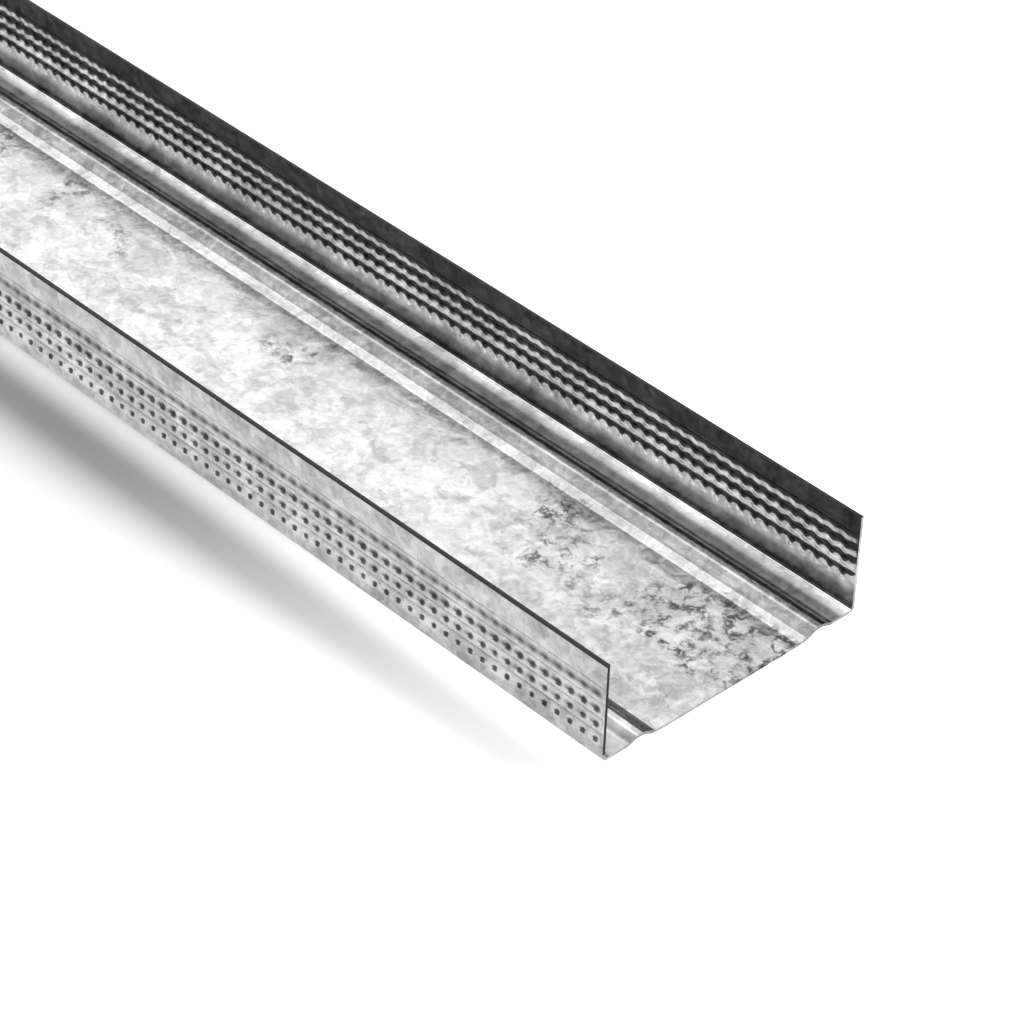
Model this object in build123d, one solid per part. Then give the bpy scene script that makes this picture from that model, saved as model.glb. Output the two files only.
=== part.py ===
from build123d import *
import os
from math import radians, tan

# A U-shaped track of galvanised sheet that holds the ends of wall studs, lying on its web.
# X runs along the track, Z points up out of the open side, and the origin is on the floor
# under the middle of the web. All sizes are in millimetres.

# The stock
LENGTH = 3048.0             # ten feet, the common length this track is sold in
WEB_WIDTH = 92.1            # over the outsides of both flanges, three and five eighths inches
TRACK_HEIGHT = 31.75        # web panel's underside to the flange edges, one and a quarter inches
SHEET = 0.88                # thickness of the galvanised sheet
BEND_RADIUS = 0.8           # inside of the bend between web and flange

# The flat strip between each bend and bead
STRIP_RISE = 0.8            # above the web panel
STRIP_WIDTH = 9.3           # outside of the flange to the bead's outer foot

# The bead rolled along each side of the web to stiffen it
BEAD_OUTER_WIDTH = 4.1      # outer foot to the peak
BEAD_INNER_WIDTH = 4.2      # peak to the inner foot
BEAD_PEAK = 2.47            # where the two slopes would meet, above the web panel
CREST_RADIUS = 6.0          # inside of the crest, which it brings down to about 1.9 above the panel
FOOT_RADIUS = 4.0           # inside of the bend at each foot

# The shallow ramp from the web panel up to the bead's inner foot
RAMP_WIDTH = 3.8
RAMP_RISE = 0.4

# The share of the shorter flat beside it that one bend may take at most
CREST_SHARE = 0.72
FOOT_SHARE = 0.27
BEND_SHARE = 0.5


def half_of_underside():
    """Corners of the sheet's underside from the web panel to one flange edge.

    Each is its distance from the middle, its height, the radius of the bend there on the
    underside, and the share of the flats beside it that the bend may take.
    """
    outside = WEB_WIDTH / 2
    outer_foot = outside - STRIP_WIDTH
    peak = outer_foot - BEAD_OUTER_WIDTH
    inner_foot = peak - BEAD_INNER_WIDTH
    panel_edge = inner_foot - RAMP_WIDTH
    foot_radius = FOOT_RADIUS + SHEET
    return [
        (panel_edge, 0, foot_radius, FOOT_SHARE),
        (inner_foot, RAMP_RISE, foot_radius, FOOT_SHARE),
        (peak, BEAD_PEAK, CREST_RADIUS, CREST_SHARE),
        (outer_foot, STRIP_RISE, foot_radius, FOOT_SHARE),
        (outside, STRIP_RISE, BEND_RADIUS + SHEET, BEND_SHARE),
        (outside, TRACK_HEIGHT, None, None),
    ]


def fitted_radius(before, corner, after, radius, share):
    """The radius, or the largest one that the flats beside the corner leave room for."""
    arriving = corner - before
    leaving = after - corner
    turn = radians(arriving.get_angle(leaving))
    return min(radius, share * min(arriving.length, leaving.length) / tan(turn / 2))


def underside():
    """The underside of the whole section as one line, from flange edge to flange edge."""
    right = half_of_underside()
    left = [(-y, z, radius, share) for y, z, radius, share in reversed(right)]
    corners = left + right
    points = [Vector(y, z) for y, z, _, _ in corners]
    radii = [
        fitted_radius(points[i - 1], points[i], points[i + 1], corners[i][2], corners[i][3])
        for i in range(1, len(points) - 1)
    ]
    return FilletPolyline(*points, radius=radii)


def stud_track():
    """The section, one sheet thick above its underside, drawn out to the full length."""
    outline = offset(underside(), amount=SHEET, side=Side.LEFT)
    section = Plane.YZ * make_face(outline.edges())
    return extrude(section, amount=LENGTH / 2, both=True)


os.makedirs("parts", exist_ok=True)
export_step(stud_track(), "parts/stud_track.step")
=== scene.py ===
import math

import bpy
import numpy as np
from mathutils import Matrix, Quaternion, Vector


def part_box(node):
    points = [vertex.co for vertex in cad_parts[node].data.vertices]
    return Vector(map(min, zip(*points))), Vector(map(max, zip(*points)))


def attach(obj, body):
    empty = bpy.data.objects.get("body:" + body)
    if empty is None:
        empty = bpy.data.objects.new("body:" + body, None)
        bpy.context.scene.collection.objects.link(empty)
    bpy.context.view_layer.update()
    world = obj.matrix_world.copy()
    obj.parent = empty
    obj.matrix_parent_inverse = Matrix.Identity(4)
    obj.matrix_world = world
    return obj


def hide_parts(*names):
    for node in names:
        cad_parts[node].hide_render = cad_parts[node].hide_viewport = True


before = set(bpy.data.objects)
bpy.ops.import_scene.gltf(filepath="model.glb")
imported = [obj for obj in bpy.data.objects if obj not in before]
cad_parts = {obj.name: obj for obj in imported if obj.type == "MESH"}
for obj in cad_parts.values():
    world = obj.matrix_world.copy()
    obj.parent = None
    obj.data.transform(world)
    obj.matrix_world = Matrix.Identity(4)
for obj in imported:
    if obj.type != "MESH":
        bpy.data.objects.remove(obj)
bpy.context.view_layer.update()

# Sizes are in metres, and the small ones are written in millimetres times MM. X runs along the
# track towards its cut end, Y across it from the near flange to the far one, and Z up.
MM = 0.001
NODE = "stud_track"
BODY = "root"

# The track's own box, from the frame
LOW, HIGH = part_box(NODE)
LENGTH = HIGH.x - LOW.x
OUTSIDE = HIGH.y
TRACK_HEIGHT = HIGH.z
CUT_END = HIGH.x

# The section of the sheet, as the solid has it
SHEET = 0.88 * MM
BEND_RADIUS = 0.8 * MM
STRIP_RISE = 0.8 * MM
STRIP_WIDTH = 9.3 * MM
BEAD_OUTER_WIDTH = 4.1 * MM
BEAD_INNER_WIDTH = 4.2 * MM
BEAD_PEAK = 2.47 * MM
CREST_RADIUS = 6.0 * MM
FOOT_RADIUS = 4.0 * MM
RAMP_WIDTH = 3.8 * MM
RAMP_RISE = 0.4 * MM

# Where its corners lie, as distances from the middle of the web
OUTER_FOOT = OUTSIDE - STRIP_WIDTH
PEAK = OUTER_FOOT - BEAD_OUTER_WIDTH
INNER_FOOT = PEAK - BEAD_INNER_WIDTH
PANEL_EDGE = INNER_FOOT - RAMP_WIDTH

# The strip beside the bend curls up a little towards it, which only its shading shows. It has
# these shares of its curl on both sides of the strip's foot, at CURL_WIDTH from the flange's
# outside and where the bend begins.
STRIP_CURL = math.radians(11)
CURL_WIDTH = 5.0 * MM
FOOT_MARGIN = 1.0 * MM
CURL_SHARES = [0, 0.26, 0.42, 1]

# How the meshes are laid out: the most that an arc turns between two points, where the web and the
# flanges meet, the band below each flange's top edge that is painted dark as shade, the places of
# the vertices round a dimple's middle, and how many steps up there are from one row to the next
ARC_STEP = math.radians(4.5)
SEAM_ABOVE_BEND = 0.5 * MM
SEAM_HEIGHT = STRIP_RISE + BEND_RADIUS + SHEET + SEAM_ABOVE_BEND
EDGE_BAND = 0.8 * MM
COLUMN_STEPS = np.array([-1.6, -0.75, 0.0, 0.75, 1.6]) * MM
ROW_STEPS = 6
WEB_COLUMNS = 120
FLANGE_PIECES = 3
WELD = 1e-4 * MM

# Each row of dimples is a shallow rib on the inside and a groove on the outside, steep above its
# ridge and gentle below, with a bump and a dent at each dimple on the gentle side. The dents are
# a little wider and shallower than the bumps.
DIMPLE_PITCH = 4.56 * MM
RIB_ABOVE = 1.1 * MM
RIB_BELOW = 3.35 * MM
BUMP = {"depth": 0.50 * MM, "half_x": 1.8 * MM, "above": 1.5 * MM, "below": 2.3 * MM}
DENT = {"depth": 0.43 * MM, "half_x": 2.0 * MM, "above": 1.7 * MM, "below": 2.2 * MM}

# How much the dimples differ in depth, and how fast that changes from one to the next and from
# row to row
UNEVENNESS = 0.08
UNEVEN_BY_DIMPLE = 1.7
UNEVEN_BY_ROW = 2.3

# How far from the ends the rows begin to run out, and the least distance of the last dimple from
# the far end
END_FADE = 1.5 * MM
LAST_DIMPLE = 2.0 * MM

# The rows of each flange, lowest first: their ridges, how strong their dimples are, the depth of
# the ribs, how far the lowest rib reaches down, how far the ridges dip at each dimple, how far
# below its ridge a dimple has its middle, and the first dimple's distance from the cut end
NEAR_ROWS = {
    "ridges": [8.7 * MM, 13.5 * MM, 18.3 * MM, 23.1 * MM], "shares": [1.2, 0.95, 0.9, 0.3],
    "depth": 0.55 * MM, "reach": 3.9 * MM, "dip": 0.0, "drop": 1.3 * MM, "first": 2.9 * MM,
}
FAR_ROWS = {
    "ridges": [12.5 * MM, 16.9 * MM, 21.2 * MM, 25.5 * MM], "shares": [1.0, 1.0, 0.85, 0.4],
    "depth": 0.46 * MM, "reach": 5.9 * MM, "dip": 0.05 * MM, "drop": 1.05 * MM, "first": 4.2 * MM,
}

# The zinc's noises: soft blotches of spangle, finer clouds in them, streaks along the track, and
# the breaks and clusters of the dark figures
BLOTCH = {"scale": 80.0, "detail": 2.5, "roughness": 0.55, "distortion": 1.2}
CLOUD = {"scale": 300.0, "detail": 4.0, "roughness": 0.6, "distortion": 0.8}
STREAK = {"scale": 450.0, "detail": 3.0, "roughness": 0.6}
STREAK_STRETCH = (0.08, 1.0, 1.0)
BREAKS = {"scale": 230.0, "detail": 3.0, "roughness": 0.65}
CLUSTER = {"scale": 30.0, "detail": 2.0, "roughness": 0.6}

# Its grains and the cells that the figures follow, and how their borders are bent
GRAIN_SCALE = 130.0
CELL_SCALE = 205.0
BEND_NOISE = {"Scale": 260.0, "Detail": 3.0}
BEND_REACH = 9.0 * MM

# Its ramps, each with the value's low and high limit and what it gives there. The first three
# say where the flat panel and the strips are, and the next five where the figures are.
PANEL = (PANEL_EDGE - 1.15 * MM, PANEL_EDGE + 2.85 * MM, 1.0, 0.0)
STRIP_BEGINS = (OUTER_FOOT - 2.25 * MM, OUTER_FOOT + 0.75 * MM, 0.0, 1.0)
STRIP_ENDS = (OUTSIDE - 4.05 * MM, OUTSIDE - 1.55 * MM, 1.0, 0.0)
FIGURE_LINE = (0.0, 0.24, 1.0, 0.0)
FIGURE_PARTS = (0.42, 0.62, 0.0, 1.0)
FIGURE_CLUSTER = (0.54, 0.68, 0.0, 1.0)
MORE_BY_END = (CUT_END - 0.14, CUT_END - 0.01, -0.05, 0.21)
MORE_BY_FAR_BEAD = (-14.0 * MM, 6.0 * MM, -0.20, 0.05)
BLOTCH_SHADE = (0.42, 0.60, -0.06, 0.06)
GRAIN_SHADE = (0.1, 0.9, -0.08, 0.06)
MOTTLE_BY_PANEL = (0.0, 1.0, 1.1, 1.0)
CLOUD_SHADE = (0.33, 0.67, -0.11, 0.11)
STREAK_SHADE = (0.3, 0.7, 0.68, 0.74)
CLOUD_ROUGHNESS = (0.3, 0.7, -0.03, 0.04)
STRIP_ROUGHNESS = (0.0, 1.0, 0.17, 0.31)
BLOTCH_HEIGHT = (0.0, 1.0, 0.03 * MM, 0.10 * MM)
CLOUD_HEIGHT = (0.0, 1.0, 0.012 * MM, 0.02 * MM)
FIGURE_DARKNESS = 0.86

# The sheared edges: bare steel, painted far darker than steel as shade, also on a band below each
# flange's top edge outside and on the near flange's ends
EDGE_SHADE = 0.08
EDGE_ROUGHNESS = 0.5

# The camera, found from the photograph's edge lines
CAMERA_TARGET = Vector((CUT_END - 0.0906, 0.0085, 0.0))
CAMERA_DISTANCE = 1.0217
CAMERA_HEADING = math.radians(135.44)
CAMERA_DROP = math.radians(36.98)
CAMERA_ROLL = math.radians(2.22)
CAMERA_LENS = 133.25
SENSOR_WIDTH = 36.0

# The floor's paint, and how bright the metal sees the floor, away from the track and right beside
# it, where it is darker as a painted contact shadow, with the distances from the middle line
# between which that changes
FLOOR_SIZE = 80.0
FLOOR_PAINT = 0.8
FLOOR_REFLECTED = 0.88
FLOOR_BY_TRACK = 0.66
CONTACT_REACH = (OUTSIDE + 2.0 * MM, OUTSIDE + 12.0 * MM)

# The floor's glow for the camera, which grows towards the cut end. There is more of it from the
# near flange's foot to the far side, well out on the near side, and beyond the far end.
FLOOR_GLOW = (0.07, 0.86)
GLOW_REACH = (CUT_END - 0.21, CUT_END + 0.05)
FOOT_GLOW = 0.5
FOOT_REACH = (LOW.y - 12.0 * MM, LOW.y)
OUTER_GLOW = 0.4
OUTER_REACH = (-0.9, -0.35)
BEYOND_REACH = (LOW.x - 0.6, LOW.x - 0.1)

# How bright the metal sees the sky, and how much the sky lights
SKY_REFLECTED = 0.6
SKY_LIGHT = 0.15

# Dark cards that only the metal sees, by the little that they glow. Each follows its line of
# (y, z) places and is drawn out between the two places of along. It clears upwards between the
# heights of clear_above and towards the track between the places of clear_towards, and darkens
# towards the cut end between those of darkens.
ALL_ALONG = (-6.0, 6.0)
OVER_EDGE = TRACK_HEIGHT + 1.75 * MM
IN_CHANNEL = LOW.y + 1.85 * MM
BEFORE_FLANGE = LOW.y - 3.95 * MM
CARDS = {
    "channel_card": {
        "line": [(IN_CHANNEL, OVER_EDGE), (IN_CHANNEL, 3.5 * MM)], "glow": 0.028,
        "along": (CUT_END - 2.0, CUT_END + 0.05), "darkens": (CUT_END - 1.9, CUT_END - 0.75),
    },
    "close_card": {
        "line": [(BEFORE_FLANGE, 0.125), (BEFORE_FLANGE, OVER_EDGE)], "glow": 0.006,
        "clear_above": (0.098, 0.124),
    },
    "near_card": {
        "line": [(-0.13, 0.08), (-0.13, 0.5 * MM), (-0.070, 0.5 * MM)], "glow": 0.08,
        "clear_above": (0.05, 0.08), "clear_towards": (-0.135, -0.060),
    },
    "far_card": {
        "line": [(0.30, 0.12), (0.30, 0.30)], "glow": 0.01,
        "clear_above": (0.16, 0.24),
    },
}

# Lamps overhead that the metal mirrors, each with its middle so far back from the cut end
BOX_LENGTH = 4.4
BOXES = {
    "rib_box": {"y": -1.65, "width": 2.2, "back": 2.6, "height": 2.50, "radiance": 1.12},
    "ramp_box": {"y": 1.35, "width": 0.8, "back": 2.6, "height": 2.45, "radiance": 0.75},
    "web_box": {"y": 2.35, "width": 2.9, "back": 2.6, "height": 2.50, "radiance": 0.16},
    "far_web_box": {"y": 2.6, "width": 2.4, "back": 4.4, "height": 2.55, "radiance": 0.46},
}

# The key, which throws the shadow
KEY_FROM = Vector((1.4, 2.4, 2.9))
KEY_ANGLE = math.radians(23)
KEY_STRENGTH = 3.75


# The section as one line

def corners_of_underside():
    """Corners from the middle of the web out to one seam: distance, height, bend radius."""
    foot_radius = FOOT_RADIUS + SHEET
    return [
        (0.0, 0.0, 0.0),
        (PANEL_EDGE, 0.0, foot_radius),
        (INNER_FOOT, RAMP_RISE, foot_radius),
        (PEAK, BEAD_PEAK, CREST_RADIUS),
        (OUTER_FOOT, STRIP_RISE, foot_radius),
        (OUTSIDE - CURL_WIDTH, STRIP_RISE, 0.0),
        (OUTSIDE, STRIP_RISE, BEND_RADIUS + SHEET),
        (OUTSIDE, SEAM_HEIGHT, 0.0),
    ]


def rounded_line(corners):
    """Points and upward normals along a line with round bends, every arc in small steps."""
    points, normals = [], []
    flat = [np.array(corner[:2]) for corner in corners]
    for i, (y, z, radius) in enumerate(corners):
        here = flat[i]
        if radius == 0:
            along = flat[min(i + 1, len(flat) - 1)] - flat[max(i - 1, 0)]
            along = along / np.linalg.norm(along)
            points.append(here)
            normals.append((-along[1], along[0]))
            continue
        into = (here - flat[i - 1]) / np.linalg.norm(here - flat[i - 1])
        out = (flat[i + 1] - here) / np.linalg.norm(flat[i + 1] - here)
        start_angle = math.atan2(into[1], into[0])
        turn = math.atan2(out[1], out[0]) - start_angle
        reach = radius * math.tan(abs(turn) / 2)
        side = math.copysign(1, turn)
        begin = here - into * reach
        centre = begin + side * radius * np.array((-into[1], into[0]))
        steps = max(2, math.ceil(abs(turn) / ARC_STEP))
        for k in range(steps + 1):
            angle = start_angle + turn * k / steps
            normal = np.array((-math.sin(angle), math.cos(angle)))
            points.append(centre - side * radius * normal)
            normals.append(normal)
    return np.array(points), np.array(normals)


def web_section():
    """Points on both faces and upward normals of the whole web, from seam to seam."""
    points, normals = rounded_line(corners_of_underside())
    upper = points + SHEET * normals
    # The curl turns the normals alone, and less where the sheet already stands up.
    places = [OUTER_FOOT - FOOT_MARGIN, OUTER_FOOT + FOOT_MARGIN,
              OUTSIDE - CURL_WIDTH, OUTSIDE - SHEET - BEND_RADIUS]
    curl = STRIP_CURL * np.interp(points[:, 0], places, CURL_SHARES)
    lean = np.arctan2(-normals[:, 0], normals[:, 1])
    lean += curl * (1 - lean / (math.pi / 2))
    normals = np.column_stack([-np.sin(lean), np.cos(lean)])
    mirror = np.array((-1, 1))
    return [np.vstack([(half * mirror)[:0:-1], half]) for half in (points, upper, normals)]


# Meshes

class Shell:
    """Collects vertices, quads and one normal for each corner of a quad."""

    def __init__(self):
        self.vertices, self.quads, self.normals, self.edge_and_shade = [], [], [], []
        self.count = 0

    # The flag picks the dark edge colour: bare steel, painted darker as shade.
    def add(self, vertices, quads, normals, edge_and_shade=False):
        """Quads index into these vertices. normals has one for each vertex, or is one for all."""
        vertices = np.asarray(vertices, float)
        normals = np.broadcast_to(np.asarray(normals, float), vertices.shape)
        self.vertices.append(vertices)
        self.quads.append(quads + self.count)
        self.normals.append(normals[quads].reshape(-1, 3))
        self.edge_and_shade.append(np.full(len(quads), edge_and_shade))
        self.count += len(vertices)

    def build(self, name, materials):
        """Welds the vertices that coincide and makes one object that rides on the body."""
        everything = np.vstack(self.vertices)
        _, kept, weld = np.unique(np.round(everything / WELD), axis=0, return_index=True,
                                  return_inverse=True)
        vertices = everything[kept]
        quads = weld.ravel()[np.vstack(self.quads)].astype(np.int32)
        edge_and_shade = np.concatenate(self.edge_and_shade).astype(np.int32)
        corners = quads.shape[1]
        mesh = bpy.data.meshes.new(name)
        mesh.vertices.add(len(vertices))
        mesh.vertices.foreach_set("co", vertices.ravel())
        mesh.loops.add(quads.size)
        mesh.loops.foreach_set("vertex_index", quads.ravel())
        mesh.polygons.add(len(quads))
        mesh.polygons.foreach_set("loop_start", np.arange(0, quads.size, corners, dtype=np.int32))
        mesh.polygons.foreach_set("loop_total", np.full(len(quads), corners, np.int32))
        mesh.polygons.foreach_set("material_index", edge_and_shade)
        mesh.polygons.foreach_set("use_smooth", np.ones(len(quads), bool))
        mesh.update(calc_edges=True)
        mesh.normals_split_custom_set(np.vstack(self.normals).tolist())
        for material in materials:
            mesh.materials.append(material)
        piece = bpy.data.objects.new(name, mesh)
        bpy.context.collection.objects.link(piece)
        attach(piece, BODY)
        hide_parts(NODE)
        return piece


def grid_quads(columns, rows, flip=False):
    """Quads of a grid whose vertex (column, row) has index column * rows + row."""
    first = (np.arange(columns - 1)[:, None] * rows + np.arange(rows - 1)[None, :]).ravel()
    quads = np.stack([first, first + rows, first + rows + 1, first + 1], axis=1)
    return quads[:, ::-1] if flip else quads


def columns_along(first):
    """Places along X of the vertices, with five round the middle of each dimple."""
    count = int((LENGTH - first - LAST_DIMPLE) / DIMPLE_PITCH) + 1
    middles = CUT_END - first - np.arange(count) * DIMPLE_PITCH
    inside = np.sort((middles[:, None] + COLUMN_STEPS[None, :]).ravel())
    begin = [LOW.x, (LOW.x + inside[0]) / 2]
    return np.concatenate([begin, inside, [(inside[-1] + CUT_END) / 2, CUT_END]])


def heights_of(rows):
    """Heights of the vertices on a flange, with one through the middles of each row's dimples."""
    ridges = np.array(rows["ridges"])
    step = (ridges[-1] - ridges[0]) / (len(ridges) - 1) / ROW_STEPS
    middles = ridges - rows["drop"]
    dense = (middles[:, None] + (np.arange(ROW_STEPS) - ROW_STEPS // 2) * step).ravel()
    lowest = ridges[0] - rows["reach"]
    count = max(1, round((dense[0] - lowest) / step))
    below = np.linspace(lowest, dense[0], count, endpoint=False)
    above = [ridges[-1] + RIB_ABOVE + rows["dip"], TRACK_HEIGHT - EDGE_BAND, TRACK_HEIGHT]
    return np.concatenate([[SEAM_HEIGHT], below, dense, above])


def hill(share, depth):
    """A round hill of this depth whose rim is at share 1, and its slope over share."""
    rest = np.clip(1 - share, 0, 1)
    return depth * rest ** 2, -2 * depth * rest


def relief(x, z, rows, spot):
    """How far the sheet is pressed inwards at x and z, and its slopes along X and Z."""
    number = np.round((x - CUT_END + rows["first"]) / DIMPLE_PITCH)
    across = x - CUT_END + rows["first"] - number * DIMPLE_PITCH
    turn = 2 * math.pi / DIMPLE_PITCH
    depth, slope_x, slope_z = 0.0, 0.0, 0.0
    for row, (ridge, row_share) in enumerate(zip(rows["ridges"], rows["shares"])):
        # The ridge dips at each dimple.
        wave = rows["dip"] * row_share
        up = z - ridge + wave * np.cos(turn * across)
        phase = number * number * UNEVEN_BY_DIMPLE + row * UNEVEN_BY_ROW
        row_share = row_share * (1 + UNEVENNESS * np.sin(phase))
        reach = np.where(up > 0, RIB_ABOVE, rows["reach"] if row == 0 else RIB_BELOW)
        rise = z - ridge + rows["drop"]
        half_z = np.where(rise > 0, spot["above"], spot["below"])
        rib, rib_slope = hill((up / reach) ** 2, rows["depth"])
        share = (across / spot["half_x"]) ** 2 + (rise / half_z) ** 2
        bump, bump_slope = hill(share, spot["depth"] * row_share)
        depth = depth + rib + bump
        slope_x = slope_x - rib_slope * 2 * up / reach ** 2 * wave * turn * np.sin(turn * across)
        slope_x = slope_x + bump_slope * 2 * across / spot["half_x"] ** 2
        slope_z = slope_z + rib_slope * 2 * up / reach ** 2
        slope_z = slope_z + bump_slope * 2 * rise / half_z ** 2
    # The ribs run out flat at the ends of the track.
    edge = np.clip(np.minimum(CUT_END - x, x - LOW.x) / END_FADE, 0, 1)
    share = edge * edge * (3 - 2 * edge)
    share_slope = 6 * edge * (1 - edge) / END_FADE * np.where(x > 0, -1, 1)
    return depth * share, slope_x * share + depth * share_slope, slope_z * share


def flange(name, side, rows, along, materials):
    """A stretch of one flange, with its top edge and any end of the track that it reaches.

    side is -1 for the near flange and 1 for the far one. Only the near one's ends get the dark edge
    colour: bare steel painted darker as shade.
    """
    shell = Shell()
    heights = heights_of(rows)
    x, z = np.meshgrid(along, heights, indexing="ij")
    faces_y = []
    for outer, spot in ((True, DENT), (False, BUMP)):
        depth, slope_x, slope_z = relief(x, z, rows, spot)
        y = side * ((OUTSIDE if outer else OUTSIDE - SHEET) - depth)
        normals = np.stack([slope_x, np.full(x.shape, side), slope_z], axis=2)
        normals *= (1 if outer else -1) / np.linalg.norm(normals, axis=2, keepdims=True)
        normals = normals.reshape(-1, 3)
        spots = np.stack([x, y, z], axis=2).reshape(-1, 3)
        quads = grid_quads(len(along), len(heights), flip=(side > 0) == outer)
        in_band = quads.max(axis=1) % len(heights) == len(heights) - 1
        shell.add(spots, quads[~in_band], normals)
        # The band below the top edge outside is painted dark, as shade.
        shell.add(spots, quads[in_band], normals, edge_and_shade=outer)
        faces_y.append(y)
    low_y, high_y = sorted(faces_y, key=lambda y: y[0, -1])
    top = [(px, y[k, -1], TRACK_HEIGHT) for k, px in enumerate(along) for y in (low_y, high_y)]
    # The top edge is bare steel, painted darker as shade.
    shell.add(top, grid_quads(len(along), 2), (0, 0, 1), edge_and_shade=True)
    # Only the near flange's ends are bare steel painted darker as shade; the far one's stay zinc.
    for k, facing in ((0, -1), (-1, 1)):
        if along[k] in (LOW.x, CUT_END):
            edge = [(along[k], y[k, j], height)
                    for y in (low_y, high_y) for j, height in enumerate(heights)]
            quads = grid_quads(2, len(heights), flip=facing < 0)
            shell.add(edge, quads, (facing, 0, 0), edge_and_shade=side < 0)
    return shell.build(name, materials)


def web(name, materials):
    """The web with its beads and both bends, up to the seams with the flanges."""
    points, upper, normals = web_section()
    columns = np.linspace(LOW.x, CUT_END, WEB_COLUMNS)
    count = len(points)
    shell = Shell()
    for line, way in ((points, -1), (upper, 1)):
        spots = [(x, y, z) for x in columns for y, z in line]
        directions = np.tile(np.column_stack([np.zeros(count), way * normals]), (len(columns), 1))
        shell.add(spots, grid_quads(len(columns), count, flip=way < 0), directions)
    for end, facing in ((LOW.x, -1), (CUT_END, 1)):
        edge = [(end, y, z) for line in (points, upper) for y, z in line]
        shell.add(edge, grid_quads(2, count, flip=facing > 0), (facing, 0, 0))
    return shell.build(name, materials)


# Materials

class Nodes:
    """Short ways to add and link nodes in one node tree."""

    def __init__(self, tree):
        self.tree = tree
        tree.nodes.clear()

    def add(self, kind, settings=None, **inputs):
        """One node. An input goes by its name, with _ for a space, or by its place as i0 or i1."""
        node = self.tree.nodes.new(kind)
        for name, value in (settings or {}).items():
            setattr(node, name, value)
        for name, value in inputs.items():
            socket = node.inputs[int(name[1:]) if name[1:].isdigit() else name.replace("_", " ")]
            if isinstance(value, bpy.types.NodeSocket):
                self.tree.links.new(value, socket)
            else:
                socket.default_value = value
        return node

    def math(self, operation, *values):
        inputs = {f"i{k}": value for k, value in enumerate(values)}
        return self.add("ShaderNodeMath", {"operation": operation}, **inputs).outputs[0]

    def noise(self, place, scale, detail, roughness, distortion=0.0):
        return self.add("ShaderNodeTexNoise", Vector=place, Scale=scale, Detail=detail,
                        Roughness=roughness, Distortion=distortion).outputs[0]

    def ramp(self, value, low, high, start=0.0, end=1.0):
        """Value mapped from low..high to start..end, smoothly and clamped."""
        settings = {"interpolation_type": "SMOOTHSTEP"}
        limits = {"From_Min": low, "From_Max": high, "To_Min": start, "To_Max": end}
        return self.add("ShaderNodeMapRange", settings, Value=value, **limits).outputs["Result"]

    def place(self):
        """The place in the object's own space, as one vector and taken apart."""
        vector = self.add("ShaderNodeTexCoord").outputs["Object"]
        return vector, self.add("ShaderNodeSeparateXYZ", Vector=vector).outputs

    def emission(self, strength):
        """Even white light of this strength."""
        return self.add("ShaderNodeEmission", Color=grey(1), Strength=strength).outputs[0]

    def mixed(self, factor, first, second):
        """The first shader where factor is 0 and the second where it is 1."""
        return self.add("ShaderNodeMixShader", i0=factor, i1=first, i2=second).outputs[0]


def grey(level):
    """A neutral colour."""
    return (level, level, level, 1)


def new_material(name):
    """An empty material, and its nodes."""
    material = bpy.data.materials.new(name)
    material.use_nodes = True
    return material, Nodes(material.node_tree)


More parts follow.
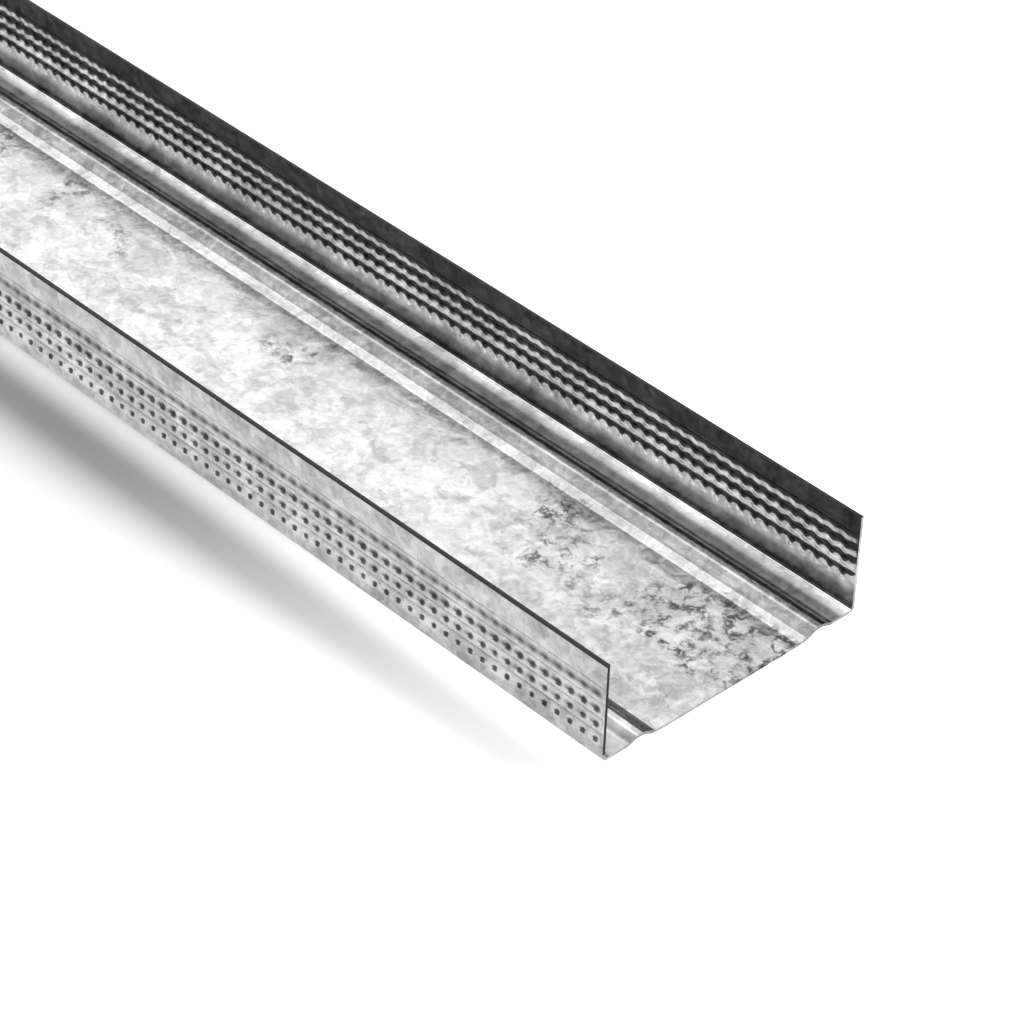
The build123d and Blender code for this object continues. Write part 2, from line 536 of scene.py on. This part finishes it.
def zinc():
    """Galvanised sheet with soft spangle, and dark crooked figures where that is coarse."""
    material, n = new_material("galvanised_sheet")
    place, apart = n.place()
    across = n.math("ABSOLUTE", apart["Y"])
    panel = n.ramp(across, *PANEL)
    strip = n.math("MULTIPLY", n.ramp(across, *STRIP_BEGINS), n.ramp(across, *STRIP_ENDS))

    blotch = n.noise(place, **BLOTCH)
    cloud = n.noise(place, **CLOUD)
    stretched = n.add("ShaderNodeMapping", Vector=place, Scale=STREAK_STRETCH).outputs[0]
    streak = n.noise(stretched, **STREAK)

    # Grains with crooked borders
    bent = n.add("ShaderNodeTexNoise", Vector=place, **BEND_NOISE).outputs["Color"]
    shift = n.add("ShaderNodeVectorMath", {"operation": "SCALE"}, Vector=bent, Scale=BEND_REACH)
    crooked = n.add("ShaderNodeVectorMath", {"operation": "ADD"}, i0=place, i1=shift.outputs[0])
    crooked = crooked.outputs[0]
    grains = n.add("ShaderNodeTexVoronoi", {"feature": "F1"}, Vector=crooked, Scale=GRAIN_SCALE)
    grain = n.add("ShaderNodeSeparateColor", Color=grains.outputs["Color"]).outputs[0]

    # Broken lines between the cells make the figures, in clusters that are thickest by the cut end.
    cells = n.add("ShaderNodeTexVoronoi", {"feature": "DISTANCE_TO_EDGE"}, Vector=crooked,
                  Scale=CELL_SCALE)
    line = n.ramp(cells.outputs["Distance"], *FIGURE_LINE)
    parts = n.ramp(n.noise(place, **BREAKS), *FIGURE_PARTS)
    more = n.math("ADD", n.ramp(apart["X"], *MORE_BY_END), n.ramp(apart["Y"], *MORE_BY_FAR_BEAD))
    cluster = n.ramp(n.math("ADD", n.noise(place, **CLUSTER), more), *FIGURE_CLUSTER)
    figure = n.math("MULTIPLY", n.math("MULTIPLY", line, parts), n.math("MULTIPLY", cluster, panel))

    mottle = n.math("ADD", n.ramp(blotch, *BLOTCH_SHADE), n.ramp(grain, *GRAIN_SHADE))
    mottle = n.math("MULTIPLY", mottle, n.ramp(panel, *MOTTLE_BY_PANEL))
    shade = n.math("ADD", mottle, n.ramp(cloud, *CLOUD_SHADE))
    shade = n.math("ADD", shade, n.ramp(streak, *STREAK_SHADE))
    left = n.math("SUBTRACT", 1.0, n.math("MULTIPLY", figure, FIGURE_DARKNESS))
    shade = n.math("MULTIPLY", shade, left)
    color = n.add("ShaderNodeCombineColor", Red=shade, Green=shade, Blue=shade).outputs[0]
    roughness = n.math("ADD", n.ramp(cloud, *CLOUD_ROUGHNESS), n.ramp(strip, *STRIP_ROUGHNESS))

    # The sheet's face waves a little, most on the flat panel.
    height = n.math("ADD", n.math("MULTIPLY", blotch, n.ramp(panel, *BLOTCH_HEIGHT)),
                    n.math("MULTIPLY", cloud, n.ramp(panel, *CLOUD_HEIGHT)))
    bump = n.add("ShaderNodeBump", Strength=1.0, Distance=1.0, Height=height).outputs[0]
    surface = n.add("ShaderNodeBsdfPrincipled", Base_Color=color, Metallic=1.0,
                    Roughness=roughness, Normal=bump)
    n.add("ShaderNodeOutputMaterial", Surface=surface.outputs[0])
    return material


def bare_edge_and_painted_shade():
    """The sheared edges' bare steel, painted far darker than steel as shade."""
    material, n = new_material("bare_edge_and_painted_shade")
    surface = n.add("ShaderNodeBsdfPrincipled", Base_Color=grey(EDGE_SHADE), Metallic=1.0,
                    Roughness=EDGE_ROUGHNESS)
    n.add("ShaderNodeOutputMaterial", Surface=surface.outputs[0])
    return material


# Surroundings

def add_camera():
    """The photograph's view."""
    level = math.cos(CAMERA_DROP)
    look = Vector((level * math.cos(CAMERA_HEADING), level * math.sin(CAMERA_HEADING),
                   -math.sin(CAMERA_DROP)))
    data = bpy.data.cameras.new("camera")
    data.lens = CAMERA_LENS
    data.sensor_width = SENSOR_WIDTH
    camera = bpy.data.objects.new("camera", data)
    bpy.context.collection.objects.link(camera)
    camera.location = CAMERA_TARGET - look * CAMERA_DISTANCE
    camera.rotation_mode = "QUATERNION"
    upright = look.to_track_quat("-Z", "Y")
    camera.rotation_quaternion = Quaternion(look, -CAMERA_ROLL) @ upright
    bpy.context.scene.camera = camera


def reflected(n, path):
    """1 for what the camera sees in metal or glass, 0 for the rays that light matt surfaces."""
    glossy = n.math("MAXIMUM", path["Is Glossy Ray"], path["Is Transmission Ray"])
    return n.math("MULTIPLY", glossy, n.math("LESS_THAN", path["Diffuse Depth"], 0.5))


def add_strip(name, line, along, material):
    """A sheet that follows a line of (y, z) places, drawn out between two places along X."""
    mesh = bpy.data.meshes.new(name)
    corners = [(x, y, z) for y, z in line for x in along]
    faces = [(2 * k, 2 * k + 1, 2 * k + 3, 2 * k + 2) for k in range(len(line) - 1)]
    mesh.from_pydata(corners, [], faces)
    mesh.materials.append(material)
    strip = bpy.data.objects.new(name, mesh)
    bpy.context.collection.objects.link(strip)
    return strip


def add_floor():
    """White paint with a glow that the camera sees, and a plain light that metal sees instead."""
    material, n = new_material("floor")
    path = n.add("ShaderNodeLightPath").outputs
    _, apart = n.place()
    by_foot = n.ramp(apart["Y"], *FOOT_REACH, 0.0, FOOT_GLOW)
    outer = n.math("MAXIMUM", n.ramp(apart["Y"], *OUTER_REACH, OUTER_GLOW, 0.0),
                   n.ramp(apart["X"], *BEYOND_REACH, OUTER_GLOW, 0.0))
    glow = n.math("ADD", n.ramp(apart["X"], *GLOW_REACH, *FLOOR_GLOW),
                  n.math("ADD", by_foot, outer))
    glow = n.math("MULTIPLY", glow, path["Is Camera Ray"])
    paint = n.add("ShaderNodeBsdfDiffuse", Color=grey(FLOOR_PAINT)).outputs[0]
    lit = n.add("ShaderNodeAddShader", i0=paint, i1=n.emission(glow)).outputs[0]

    # What metal sees darkens where the floor meets the track: a painted contact shadow.
    across = n.math("ABSOLUTE", apart["Y"])
    mirrored = n.emission(n.ramp(across, *CONTACT_REACH, FLOOR_BY_TRACK, FLOOR_REFLECTED))
    n.add("ShaderNodeOutputMaterial", Surface=n.mixed(reflected(n, path), lit, mirrored))
    half = FLOOR_SIZE / 2
    add_strip("floor", [(-half, 0), (half, 0)], (-half, half), material)


def add_world():
    """A sky that is white to the camera, greyer where metal mirrors it, and lights a little."""
    world = bpy.data.worlds.new("world")
    bpy.context.scene.world = world
    world.use_nodes = True
    n = Nodes(world.node_tree)
    path = n.add("ShaderNodeLightPath").outputs
    mirrored = n.math("MULTIPLY", reflected(n, path), SKY_REFLECTED)
    strength = n.math("MAXIMUM", path["Is Camera Ray"], mirrored)
    strength = n.math("MAXIMUM", strength, SKY_LIGHT)
    sky = n.add("ShaderNodeBackground", Color=grey(1), Strength=strength)
    n.add("ShaderNodeOutputWorld", Surface=sky.outputs[0])


def add_card(name, line, glow, along=ALL_ALONG, clear_above=None, clear_towards=None, darkens=None):
    """A dark card along the track that only metal mirrors. It is clear from behind."""
    material, n = new_material(name)
    _, apart = n.place()
    clear = n.add("ShaderNodeNewGeometry").outputs["Backfacing"]
    if clear_above:
        clear = n.math("MAXIMUM", clear, n.ramp(apart["Z"], *clear_above))
    if clear_towards:
        clear = n.math("MAXIMUM", clear, n.ramp(apart["Y"], *clear_towards))
    if darkens:
        clear = n.math("MAXIMUM", clear, n.ramp(apart["X"], *darkens, 1.0, 0.0))
    nothing = n.add("ShaderNodeBsdfTransparent").outputs[0]
    n.add("ShaderNodeOutputMaterial", Surface=n.mixed(clear, n.emission(glow), nothing))
    card = add_strip(name, line, along, material)
    card.visible_camera = False
    card.visible_diffuse = False
    card.visible_shadow = False


def add_box(name, y, width, back, height, radiance):
    """An area lamp along the track, overhead, of an even radiance. It points straight down."""
    data = bpy.data.lights.new(name, "AREA")
    data.shape = "RECTANGLE"
    data.size, data.size_y = BOX_LENGTH, width
    data.energy = radiance * math.pi * BOX_LENGTH * width
    lamp = bpy.data.objects.new(name, data)
    bpy.context.collection.objects.link(lamp)
    lamp.location = (CUT_END - back, y, height)
    lamp.visible_camera = False


def add_key():
    """A soft sun that the metal doesn't show."""
    data = bpy.data.lights.new("key", "SUN")
    data.angle = KEY_ANGLE
    data.energy = KEY_STRENGTH
    key = bpy.data.objects.new("key", data)
    bpy.context.collection.objects.link(key)
    key.rotation_euler = (-KEY_FROM).to_track_quat("-Z", "Y").to_euler()
    key.visible_camera = False
    key.visible_glossy = False


def main():
    bpy.context.scene.view_settings.view_transform = "Standard"
    # The second material is bare steel painted darker as shade, for the edges and a band below
    # them.
    materials = [zinc(), bare_edge_and_painted_shade()]
    for side, name, rows in ((-1, "near_flange", NEAR_ROWS), (1, "far_flange", FAR_ROWS)):
        along = columns_along(rows["first"])
        limits = np.linspace(0, len(along) - 1, FLANGE_PIECES + 1).astype(int)
        for k in range(FLANGE_PIECES):
            stretch = along[limits[k]:limits[k + 1] + 1]
            flange(f"{name}_{k + 1}", side, rows, stretch, materials)
    web("web", materials)
    add_camera()
    add_world()
    add_floor()
    for name, card in CARDS.items():
        add_card(name, **card)
    for name, box in BOXES.items():
        add_box(name, **box)
    add_key()


main()
